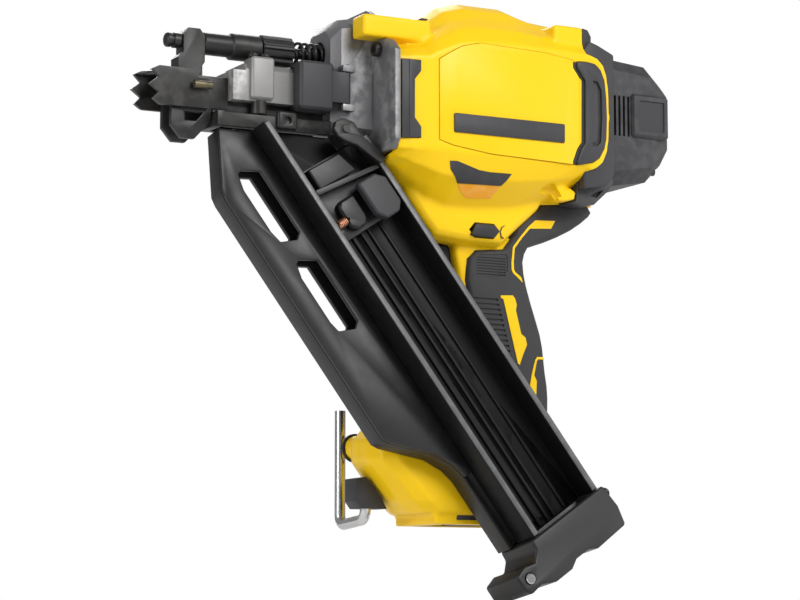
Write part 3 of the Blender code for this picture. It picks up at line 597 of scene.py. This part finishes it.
NECK = [(9, -30), (14, -42), (22, -56), (30, -67), (38, -76), (60, -78), (84, -78), (95, -68),
        (110, -55), (116, -44), (116, -30)]
STALK = [(55, -70), (57, -86), (60, -100), (64, -109), (70, -106), (72, -76)]
GRIP = [(62.5, -98), (63.9, -85.3), (70, -79.5), (88.3, -77.9), (95, -69.2), (96, -64.1), (103.7, -57.8),
        (113.3, -50.2), (116.9, -49.1), (137.4, -47.8), (147.6, -49), (150, -52.7), (148, -55.6),
        (142, -60.4),
        (136.2, -64.2), (127.4, -68.6), (117.7, -72.6), (106.1, -76.6), (103.7, -80.7), (102.6, -85.3),
        (103.2, -92),
        (104.8, -99.2), (107.8, -109), (111.1, -118.7), (113.9, -127), (115.6, -135), (116.4, -142.4),
        (117.3, -150),
        (118.5, -157.2), (119, -164.6), (118.8, -172), (119, -181), (86, -181), (84, -168), (79, -152),
        (72, -132),
        (66, -114)]
CORE = [(67, -70), (67, -98), (72, -114), (78, -132), (85, -152), (90, -168), (91, -190), (112, -190),
        (112, -168),
        (111, -150), (108, -132), (103.5, -119), (99, -108), (95.6, -100), (94.5, -88), (95, -72)]


def foot(name):
    """The shoe under the handle that the battery slides onto."""
    rings = []
    for z, front, rear, half in ((-172.0, 60.0, 118.0, 8.0), (-178.0, 32.0, 124.0, 14.0),
                                 (-184.0, 8.0, 127.0, 19.0),
                                 (-192.0, 2.2, 128.0, 22.0), (-203.0, 3.0, 128.0, 24.5),
                                 (-214.0, 12.0, 128.0, 26.5),
                                 (-226.0, 22.0, 128.0, 28.0), (-233.0, 30.0, 127.0, 27.0)):
        outline = [(front + 12.0, half), (rear - 4.0, half), (rear, half - 4.0), (rear, 4.0 - half),
                   (rear - 4.0, -half), (front + 12.0, -half), (front + 4.0, -0.78 * half),
                   (front, -0.36 * half), (front, 0.36 * half), (front + 4.0, 0.78 * half)]
        rings.append([tool(x, y, z) for x, y in outline])
    return ring_stack(name, rings)


COVER = [(29, -24), (38, -26.5), (63, -29.5), (117.2, -31), (117.2, -29.2), (120, -21.8), (122.7, -17.8),
         (123.1, 18.6), (120.5, 22.2), (117.7, 26), (117.7, 30.4), (100, 32.6), (56, 34), (44, 31),
         (36, 26.5), (29, 22)]
REAR_INSERT = [(118, 26.2), (118, 29.2), (122.1, 30), (127.5, 30.2), (132.5, 29.5), (136.2, 26.4),
               (138.9, 20.2),
               (140, 10.2), (140.3, -2.7), (139.8, -14.3), (138.4, -20.5), (135.2, -25.8), (131, -28.6),
               (121.5, -30.7), (117.6, -31), (117.6, -29.2), (120.4, -21.8), (123.1, -17.8), (123.5, 18.7),
               (120.9, 22.4)]
FRONT_INSERT = [(5, -25), (17, -24), (17, -18), (13, -13), (13, 9), (17, 14), (17, 20), (5, 20)]
RIM = [(127.5, 35.3), (134.6, 33.1), (138.8, 29.2), (141.6, 23), (143, 10.9), (143.2, -2.1), (142.6, -13.7),
       (141.4, -21), (137.7, -28.1), (133.9, -31.6), (128.4, -33.8)]
LOCK_HOLE = [(60.8, -70.0), (64.6, -65.6), (77.4, -65.6), (81.2, -69.8), (77.4, -74.4), (64.6, -74.4)]


SHELL_WALL = 3.4
NECK_WALL = 4.5
CORE_WALL = 3.0
POCKET_GAP = 0.35
HALF_SEAM = 0.15
VOXEL = 1.15
ROD_BORE = 4.4


def housing():
    """The yellow shell, hollowed, pocketed and parted at the seam."""
    parts = [barrel("housing")]
    parts.append(layered("neck", NECK, [(-24.0, 5.0), (-22.0, 2.0), (-17.0, 0.0), (17.0, 0.0), (22.0, 2.0),
                                        (24.0, 5.0)]))
    parts.append(layered("stalk", STALK, [(-14.5, 1.5), (-11.0, 0.0), (11.0, 0.0), (14.5, 1.5)]))
    parts.append(slab("core", CORE, -14.0, 14.0))
    parts.append(foot("foot"))
    parts.append(block("seat", 38.0, 126.0, -24.0, 24.0, -239.0, -230.0))
    for sgn in (-1.0, 1.0):
        parts.append(block("lug", -13.0, 30.0, min(sgn * 20, sgn * 35), max(sgn * 20, sgn * 35), 34.0,
                           46.5))
        parts.append(block("corner", 108.0, 128.0, min(sgn * 24, sgn * 42), max(sgn * 24, sgn * 42), 30.0,
                           52.0))
        parts.append(slab("rim", [(130.0, 35.0)] + RIM[1:-1] + [(130.0, -33.6)], min(sgn * 30, sgn * 46.5),
                          max(sgn * 30, sgn * 46.5)))
        boss = [(113, -44), (123, -43), (126, -45.5), (125, -49.5), (115, -51.5), (112, -48)]
        parts.append(slab("rear_boss", boss, min(sgn * 22, sgn * 36), max(sgn * 22, sgn * 36)))
    parts.append(turned("boss", tool(16.0, 19.0, -194.0), (0, 1, 0), [(0, 7.2), (12.6, 7.2)], 24))
    body = join(*parts)
    apply(body, "REMESH", mode="VOXEL", voxel_size=VOXEL * MM)
    apply(body, "SMOOTH", factor=0.5, iterations=5)

    hollow = barrel("hollow", -SHELL_WALL)
    hollow_neck = slab("hollow_neck", inset(NECK, NECK_WALL), -19.5, 19.5)
    hollow_core = slab("hollow_core", inset(CORE, CORE_WALL), -11.0, 11.0)
    rear = slab("rear_mouth", [(-32, -33), (32, -33), (32, 38), (-32, 38)], 136.0, 150.0, cross)
    cut(body, hollow, hollow_neck, hollow_core, rear)
    for sgn in (-1.0, 1.0):
        a, b = sorted((sgn * 45.0, sgn * 52.0))
        cut(body,
            slab("cover_pocket", inset(COVER, -POCKET_GAP), a, b),
            slab("rear_pocket", inset(REAR_INSERT, -POCKET_GAP), a, b),
            slab("front_pocket", inset(FRONT_INSERT, -POCKET_GAP), a, b))
        dimple = turned("dimple", tool(108.2, sgn * 32.9, -42.3), (0, sgn * 0.53, -0.85),
                        [(0, 2.4), (2.0, 4.6), (7.0, 8.0)], 28)
        screw_well = turned("screw_well", tool(0.0, sgn * 27.5, 28.0), (1, 0, 0), [(0, 5.0), (3.6, 5.0),
                                                                                   (3.6, 2.4),
                                                                                 (16.0, 2.4)], 20)
        a, b = sorted((sgn * 22.0, sgn * 60.0))
        corner = slab("corner", RIM + [(128.4, -60), (160, -60), (160, 60), (127.5, 60)], a, b)
        cut(body, dimple, screw_well, corner)
    cut(body,
        turned("rod_bore", tool(-12.0, 0.0, ROD_Z), (1, 0, 0), [(0, ROD_BORE), (60.0, ROD_BORE)], 24),
        block("trigger_slot", 37.0, 66.0, -9.0, 9.0, -101.0, -66.0),
        slab("lock_hole", LOCK_HOLE, -32.0, 32.0),
        block("battery_slot", 46.0, 130.0, -18.6, 18.6, -244.0, -232.6),
        block("front_face", -40.0, 3.85, -60.0, 60.0, -60.0, 33.0),
        slab("hook_pocket", [(0.0, -212.0), (9.0, -211.4), (18.0, -222.4), (22.0, -231.0), (0.0, -240.0)],
             0.6, 15.6))
    far = body.copy()
    far.data = body.data.copy()
    bpy.context.scene.collection.objects.link(far)
    cut(body, block("half", -80, 260, HALF_SEAM, 90.0, -300, 120))
    cut(far, block("half", -80, 260, -90.0, -HALF_SEAM, -300, 120))
    done(body, "housing_left", "tool", "yellow_shell", "left_housing", angle=42)
    done(far, "housing_right", "tool", "yellow_shell", "right_housing", angle=42)


def side_trim():
    """Side covers, inserts and the blank nameplate."""
    for tag, sgn in (("left", -1.0), ("right", 1.0)):
        def outer(near, far):
            return sorted((sgn * near, sgn * far))
        cover = slab("cover", COVER, *outer(45.3, 47.4))
        step = slab("step", [(111.5, -29.0), (114.5, -27.0), (114.5, 31.0), (111.5, 33.0), (122, 36),
                             (122, -32)],
                    *outer(47.0, 49.0))
        cut(cover, step)
        round_edges(cover, 0.45, 2)
        done(cover, "cover_" + tag, "tool", "yellow_shell", "side_cover_" + tag)
        # A black plate under the rear insert. The insert's face starts 2.2 mm further back, so the plate
        # shows as a dark strip along the insert's front edge: painted shade for the shadowed groove there.
        bed = slab("bed", inset(REAR_INSERT, 0.2), *outer(45.2, 46.6))
        done(bed, "rear_painted_shade_bed_" + tag, "tool", "black_plastic")
        face = [(x + 2.2 if x < 124 else x, z) for x, z in REAR_INSERT]
        rear = slab("rear", face, *outer(45.3, 47.9))
        groove = [(131, 19.4), (134, 19), (136.5, 14.2), (136.8, -3.1), (135.8, -16.8), (133.6, -18.9),
                  (130.3, -19),
                  (130.3, -17.6), (132.6, -17), (133.6, -14.6), (134.1, -3.3), (133.8, 13.9), (133, 17.4),
                  (131, 17.9)]
        cut(rear, slab("groove", groove, *outer(46.3, 49.0)))
        round_edges(rear, 0.6, 2)
        done(rear, "rear_pad_" + tag, "tool", "grey_plastic", "rear_bumper_" + tag)
        front = slab("front", FRONT_INSERT, *outer(45.3, 47.6))
        cut(front, slab("step", [(4.0, -30.0), (9.5, -30.0), (9.5, 25.0), (4.0, 25.0)], *outer(47.1, 49.0)))
        round_edges(front, 0.5, 2)
        bow = [(127, 38), (131, 44), (137, 42.2), (148.2, 37.3), (148.2, -34), (143, -41), (127, -44)]
        bow = round_edges(slab("bow", bow, *outer(31.0, 43.6)), 1.2, 3)
        done(bow, "rear_bow_" + tag, "tool", "grey_plastic")
        done(front, "front_pad_" + tag, "tool", "grey_plastic", "front_bumper_" + tag)
    plate = slab("plate", [(38.6, -19.2), (110.4, -19.2), (111, -18.6), (111, -8.8), (110.4, -8.2),
                           (38.6, -8.2), (38, -8.8), (38, -18.6)], -48.4, -47.2)
    round_edges(plate, 0.25, 2)
    done(plate, "nameplate", "tool", "grey_plastic", "nameplate_left")


def skin_patch(name, base, outline, low, high):
    """The part of a slightly swollen copy of a body that lies inside an outline."""
    patch = base
    patch.name = name
    boolean(patch, "INTERSECT", slab("outline", outline, low, high))
    return patch


BAND = [(37.1, -35.2), (41.6, -35), (56.7, -38.8), (64.2, -39.4), (78.5, -39.2), (74.2, -45.8),
        (45.6, -46.5),
        (38.6, -39.6)]
TAB = [(46, -46.9), (74, -46.1), (71.2, -52.4), (55.8, -53.2), (51.2, -51)]


def labels():
    """The two-part angle label under the nameplate, left blank."""
    band = skin_patch("band", barrel("b", 0.35), BAND, -52.0, -24.0)
    inner = barrel("b", -0.6)
    cut(band, inner)
    done(band, "angle_band", "tool", "grey_plastic")
    tab = skin_patch("tab", barrel("b", 0.30), TAB, -52.0, -16.0)
    cut(tab, barrel("b", -0.6))
    done(tab, "angle_tab", "tool", "orange_label", "angle_badge_left")


GRIP_LAYERS = [(-17.0, 3.0), (-16.2, 1.7), (-14.6, 0.7), (-11.0, 0.1), (-6.0, 0.0), (6.0, 0.0), (11.0, 0.1),
               (14.6, 0.7), (16.2, 1.7), (17.0, 3.0)]


def grip_body(name, grow=0.0):
    """The rubber grip from both sides, swollen by grow."""
    layers = [(y + (grow if y > 0 else -grow), amount - grow) for y, amount in GRIP_LAYERS]
    return layered(name, GRIP, layers)


RIB_PAD = [(68.4, -85.8), (71.2, -82.8), (89.6, -81.6), (90.4, -82.7), (90.4, -91.8), (87.1, -92.6),
           (83.8, -95.3), (70.7, -95.6), (68.4, -94)]
YELLOW_LINE = [(122.9, -59.7), (109.4, -60.3), (104.6, -64.4), (98.8, -71), (94, -77.1), (93, -85.8),
               (93, -90.3),
               (93.9, -92.3), (100.4, -97.6), (99.8, -95.3), (99.1, -94.3), (95.4, -91.6), (94.6, -90.2),
               (94.5, -85.7), (95.2, -77.8), (100.2, -71.3), (105.7, -65.4), (120.1, -64.5)]
BADGE = [(85.5, -106), (93.7, -105.6), (95.1, -107.1), (96.3, -110.7), (95.7, -114.1), (99.2, -127.8),
         (102, -129.7),
         (103.1, -133.8), (100.1, -140.5), (98.1, -145.9), (96.9, -145.1), (87.3, -107.9), (85.8, -107.6)]
LOWER_LINE = [(118, -140.4), (110, -140.7), (108.6, -142.5), (106.1, -151.6), (105, -157.4), (105.9, -161),
              (109.1, -164.7), (109.6, -154.7), (107.9, -151.5), (109.7, -143.2), (110.6, -142),
              (118, -142)]


RIBS, RIB_TOP, RIB_PITCH, RIB_WIDTH = 12, -108.0, 2.95, 1.3
LINES, LINE_TOP, LINE_PITCH, LINE_WIDTH = 7, -84.2, 1.6, 0.7


def grips():
    """The rubber grip with its ribs, and its yellow lines."""
    grip = grip_body("grip")
    trims = [slab("inner", inset(CORE, -0.3), -14.3, 14.3),
             layered("neck", NECK, [(-24.3, 4.7), (-22.3, 1.7), (-17.3, -0.3), (17.3, -0.3), (22.3, 1.7),
                                    (24.3, 4.7)]),
             block("slot", 30.0, 66.0, -9.2, 9.2, -101.2, -60.0)]
    cut(grip, *trims)
    cut(grip, barrel("b", 0.1))
    for sgn in (-1.0, 1.0):
        a, b = sorted((sgn * 16.1, sgn * 19.0))
        ribs = []
        for k in range(RIBS):
            drop = RIB_PITCH * k
            z = RIB_TOP - drop
            ribs.append(block("rib", 67.5 + 0.34 * drop, 84.0 + 0.27 * drop, a, b, z - RIB_WIDTH, z))
        cut(grip, join(*ribs))
        a, b = sorted((sgn * 16.6, sgn * 19.0))
        cut(grip, slab("rib_pad", RIB_PAD, a, b))
        a, b = sorted((sgn * 16.1, sgn * 19.0))
        tops = [LINE_TOP - LINE_PITCH * k for k in range(LINES)]
        cut(grip, join(*[block("line", 70.0, 89.0, a, b, z - LINE_WIDTH, z) for z in tops]))
    done(grip, "rubber_grip", "tool", "dark_rubber", "grip_left", "grip_right", angle=50)
    for tag, sgn in (("left", -1.0), ("right", 1.0)):
        for label, outline, swell in (("line", YELLOW_LINE, 0.25), ("badge", BADGE, 0.35),
                                      ("low_line", LOWER_LINE, 0.25)):
            a, b = sorted((sgn * 9.0, sgn * 22.0))
            patch = skin_patch("patch", grip_body("g", swell), outline, a, b)
            cut(patch, grip_body("g", -0.5))
            done(patch, "grip_%s_%s" % (label, tag), "tool", "yellow_shell")


# ---- controls, foot and rear ------------------------------------------------------
def controls():
    """Trigger, lock-off button and its mark."""
    trigger = round_edges(copied("trigger"), 1.4, 3)
    done(trigger, "trigger_lever", "trigger", "grey_plastic", "trigger")
    button = round_edges(copied("lock_off_button"), 0.7, 3)
    done(button, "lock_button", "lock_off", "black_plastic", "lock_off_button", slot="grey_plastic")
    for tag, sgn in (("left", -1.0), ("right", 1.0)):
        a, b = sorted((sgn * 23.0, sgn * 24.35))
        shackle = [(84.4, -65.9), (82.2, -67.2), (81.1, -70.0), (81.7, -72.9), (83.8, -73.9), (83.6, -73.3),
                   (82.3, -72.4), (81.8, -70.0), (82.7, -67.6), (84.3, -66.5)]
        done(slab("mark", shackle, a, b), "lock_mark_%s" % tag, "tool", "black_plastic")


HOOK_X, HOOK_NEAR, HOOK_FAR, HOOK_TOP = 10, 7, 39, -172.0
HOOK_BEND, HOOK_WIRE = 5.5, 3.15


def foot_parts():
    """The rafter hook, its holder and the trim of the shoe."""
    bracket = round_edges(copied("hook_bracket"), 0.8, 2)
    done(bracket, "hook_holder", "tool", "grey_plastic", "hook_bracket")
    path = [tool(HOOK_X, HOOK_NEAR, -219), tool(HOOK_X, HOOK_NEAR, -236.2 + HOOK_BEND)]
    for k in range(1, 8):
        a = math.pi / 2 * k / 7
        path.append(tool(HOOK_X, HOOK_NEAR + HOOK_BEND * (1 - math.cos(a)),
                         -236.2 + HOOK_BEND - HOOK_BEND * math.sin(a)))
    for k in range(8):
        a = math.pi / 2 * k / 7
        path.append(tool(HOOK_X, HOOK_FAR - HOOK_BEND + HOOK_BEND * math.sin(a),
                         -238.0 + HOOK_BEND - HOOK_BEND * math.cos(a)))
    path.append(tool(HOOK_X, HOOK_FAR, HOOK_TOP))
    done(wire("hook", path, HOOK_WIRE, 8), "rafter_hook", "hook", "hook_steel", "belt_hook", angle=60)
    ring = turned("ring", tool(16.0, 31.2, -194.0), (0, 1, 0), [(0, 8.4), (1.2, 8.4), (1.2, 7.0), (0, 7.0)],
                  40)
    done(ring, "boss_ring", "tool", "dark_rubber")
    insert = block("insert", 52.0, 66.0, -24.7, -23.4, -236.5, -226.0)
    round_edges(insert, 0.5, 2)
    done(insert, "foot_insert", "tool", "grey_plastic")


def rear_parts():
    """The motor cap, its collar, the top pads and the bracket over the grip."""
    cap = round_edges(copied("rear_cap"), 1.6, 3, 24)
    for sgn in (-1.0, 1.0):
        a, b = sorted((sgn * 37.9, sgn * 40.0))
        cut(cap, slab("mark", [(169.5, -5.0), (186.5, -5.0), (186.5, 13.0), (169.5, 13.0)], a, b))
    done(cap, "motor_cap", "tool", "grey_plastic", "rear_cap")
    collar = round_edges(copied("rear_collar"), 0.8, 2)
    done(collar, "cap_collar", "tool", "grey_plastic", "rear_collar")
    pad = [(127.2, 36.5), (127.2, 51.6), (131.2, 51.0), (133.6, 47.0), (133.3, 41.0), (131.9, 36.5)]
    pads = slab("pads", pad, -42.0, -24.0)
    join(pads, slab("pad", pad, 24.0, 42.0))
    round_edges(pads, 0.9, 3)
    done(pads, "top_pad", "tool", "dark_rubber", "top_bumper")
    bracket = [(126.4, -36), (150, -30), (151.8, -37.6), (147.8, -42.9), (138, -51.6), (125.8, -50.5),
               (126.4, -45)]
    bracket = slab("bracket", bracket, -36.0, 36.0)
    for sgn in (-1.0, 1.0):
        a, b = sorted((sgn * 33.0, sgn * 40.0))
        cut(bracket, slab("window", [(135.5, -46.5), (141, -43.5), (145, -42.3), (140, -47.4)], a, b))
    round_edges(bracket, 1.0, 3)
    done(bracket, "rear_bracket", "tool", "grey_plastic")
    lip = [(112, -48.8), (116.6, -47.7), (137.4, -46.5), (148, -47.9), (148.6, -49.6), (137.4, -48.6),
           (113, -50.8)]
    done(round_edges(slab("lip", lip, -16.6, 16.6), 0.4, 2), "tang_lip", "tool", "yellow_shell")
    plugs = (("front", 31.0, 38.0, -21.0, -9.0, 45.0, 51.6), ("back", 100.0, 109.0, -8.0, 8.0, 55.0, 60.6))
    for label, *box in plugs:
        plug = round_edges(block("plug", *box), 1.2, 3)
        done(plug, "crown_plug_" + label, "tool", "dark_rubber")


# ---- nose -------------------------------------------------------------------------
def nose_parts():
    """The casting, nail guide, contact trip with its rod, and the inner springs."""
    casting = round_edges(copied("nose_casting"), 1.3, 3)
    done(casting, "front_casting", "tool", "cast_metal", "nose_casting")
    arm = round_edges(copied("nose_block"), 1.3, 3)
    done(arm, "nose_arm", "tool", "bright_metal", "nose_block")
    sleeve = turned("sleeve", tool(-67.0, -12.0, -13.2), (0, 0, 1), [(0, 3.9), (0.5, 4.5), (7.4, 4.5),
                                                                     (7.9, 3.9)], 32)
    done(sleeve, "post_sleeve", "tool", "black_steel")
    web = round_edges(block("web", -88.0, -25.0, -7.8, -5.7, -13.9, -5.7), 0.3, 2)
    done(web, "nose_web", "tool", "black_steel")
    guide = round_edges(copied("nose_guide"), 0.6, 2)
    done(guide, "nail_guide", "tool", "black_steel", "nose_guide")
    trip = round_edges(copied("contact_trip"), 0.45, 2)
    teeth = [(-127.4, 10.5), (-133.4, 7.5), (-129.4, 3.4), (-134.9, -1), (-129.4, -5), (-133.0, -9),
             (-127.4, -12.9)]
    for shift, low, high in ((2.8, -30.0, -4.0), (0.0, -4.0, 30.0)):
        front = [(-145, 14), (-127.4 + shift, 14)] + [(x + shift, z) for x, z in teeth]
        cut(trip, slab("teeth", front + [(-127.4 + shift, -16), (-145, -16)], low, high))
    cut(trip, slab("web", [(-128, 10.2), (-112.8, 10.2), (-112.8, 25), (-128, 25)], -30.0, 30.0))
    cut(trip, slab("heel", [(-97.2, 15.1), (-104.4, 4.9), (-80, 4.4), (-80, 20), (-96.2, 20)], -30.0, -2.0))
    done(trip, "toothed_foot", "trip", "black_steel", "contact_trip")
    latch = round_edges(copied("jam_latch"), 1.4, 3)
    done(latch, "jam_clip", "jam_latch", "grey_plastic", "jam_latch")
    rod_profile = [(0.0, 2.6), (0.5, 3.6), (1.2, 4.1), (3.0, 4.1), (3.4, 3.5), (4.4, 3.5), (4.8, 4.3),
                   (8.4, 4.3),
                   (8.7, 3.0), (22.2, 3.0), (22.3, 5.8), (22.8, 6.3), (38.6, 6.3), (39.0, 7.0), (39.6, 7.6),
                   (56.2, 7.6), (56.8, 6.9), (57.0, 3.0), (117.0, 3.0)]
    rod = turned("rod", tool(-119.0, 0.0, ROD_Z), (1, 0, 0), rod_profile, 48)
    done(rod, "trip_shaft", "trip", "black_steel", "trip_rod", angle=30)

    ribs = 12
    rib_radius, valley_radius = 8.6, 7.5
    rings = []
    for x, shrink in ((-61.7, 1.0), (-61.0, 0.0), (-43.0, 0.0), (-42.3, 1.0)):
        ring = []
        for k in range(ribs * 4):
            a = 2 * math.pi * k / (ribs * 4)
            radius = (rib_radius if k % 4 in (0, 1) else valley_radius) - shrink
            ring.append(tool(x, radius * math.sin(a), ROD_Z + radius * math.cos(a)))
        rings.append(ring)
    knob = ring_stack("knob", rings)
    cut(knob, turned("bore", tool(-64.0, 0.0, ROD_Z), (1, 0, 0), [(0, 3.1), (24.0, 3.1)], 32))
    done(knob, "depth_wheel", "depth_knob", "black_plastic", "depth_knob", angle=30)
    spring = wire("spring", helix(tool(-41.0, 0.0, ROD_Z), (1, 0, 0), 32.6, 6.2, 8.0), 0.95)
    done(spring, "trip_coil", "tool", "spring_steel", "trip_spring", angle=60)
    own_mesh(spring)

    for tag, y in (("left", -13.0), ("right", 13.0)):
        coil = copied("return_spring_" + tag)
        done(coil, "return_coil_" + tag, "tool", "spring_steel", "return_spring_" + tag, angle=60)
        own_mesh(coil)

    for node, width in (("flange_screw_left", 0.35), ("flange_screw_right", 0.35), ("nose_screw_1", 0.3),
                        ("nose_screw_2", 0.3)):
        done(round_edges(copied(node), width, 2), node + "_head", "tool", "black_steel", node)


# ---- magazine ---------------------------------------------------------------------
def magazine_parts():
    """The magazine, its rail, end cap and lockout lever."""
    body = round_edges(copied("magazine_body"), 0.7, 2)
    done(body, "magazine_shell", "tool", "black_plastic", "magazine_body")
    plate = round_edges(copied("magazine_side_plate"), 0.6, 2)
    done(plate, "magazine_panel", "tool", "black_plastic", "magazine_side_plate")
    rail = round_edges(copied("magazine_rail"), 0.5, 2)
    # The rail takes the darker channel finish: black, plus painted shade for its deep channel.
    done(rail, "pusher_rail", "tool", "channel_black_painted_shade", "magazine_rail", slot="black_plastic")
    for label, n0, n1, start in (("near", -72.6, -69.4, -17.5), ("far", -23.6, -20.4, 17.5)):
        edge = strip_block("edge", start, 255.4, n0, n1, 23.6, 24.25)
        done(round_edges(edge, 0.2, 2), "rail_edge_" + label, "tool", "rail_edge", slot="black_plastic")
    cap = round_edges(copied("magazine_end_cap"), 0.9, 3)
    done(cap, "end_cap", "tool", "black_plastic", "magazine_end_cap")
    pin = turned("pin", strip(262.0, -16.6, 16.0), ACROSS, [(0, 1.6), (3.0, 1.6), (3.4, 2.6), (5.6, 2.8),
                                                            (6.4, 2.0)], 28)
    done(pin, "cap_stud", "tool", "black_steel")
    lever = round_edges(copied("lockout_lever"), 0.45, 2)
    done(lever, "lockout_arm", "lockout_lever", "black_steel", "lockout_lever")


def pusher_parts():
    """The nail pusher, its grip and its spring."""
    pusher = round_edges(copied("pusher"), 0.6, 2)
    done(pusher, "pusher_carriage", "pusher", "black_plastic", "pusher")
    latch = round_edges(copied("pusher_latch"), 1.0, 3)
    done(latch, "pusher_grip", "pusher_latch", "grey_plastic", "pusher_latch")
    coil = wire("coil", helix(strip(52.0, -65.2, 16.8), ACROSS, 6.4, 2.25, 5.5), 0.5, 4)
    done(coil, "pusher_coil", "pusher", "copper", "pusher_spring", angle=60)


studio()
make_finishes()
housing()
side_trim()
labels()
grips()
controls()
foot_parts()
rear_parts()
nose_parts()
magazine_parts()
pusher_parts()

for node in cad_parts.values():
    for slot in node.material_slots:
        slot.material = FINISHES[slot.material.name.split(".")[0]]
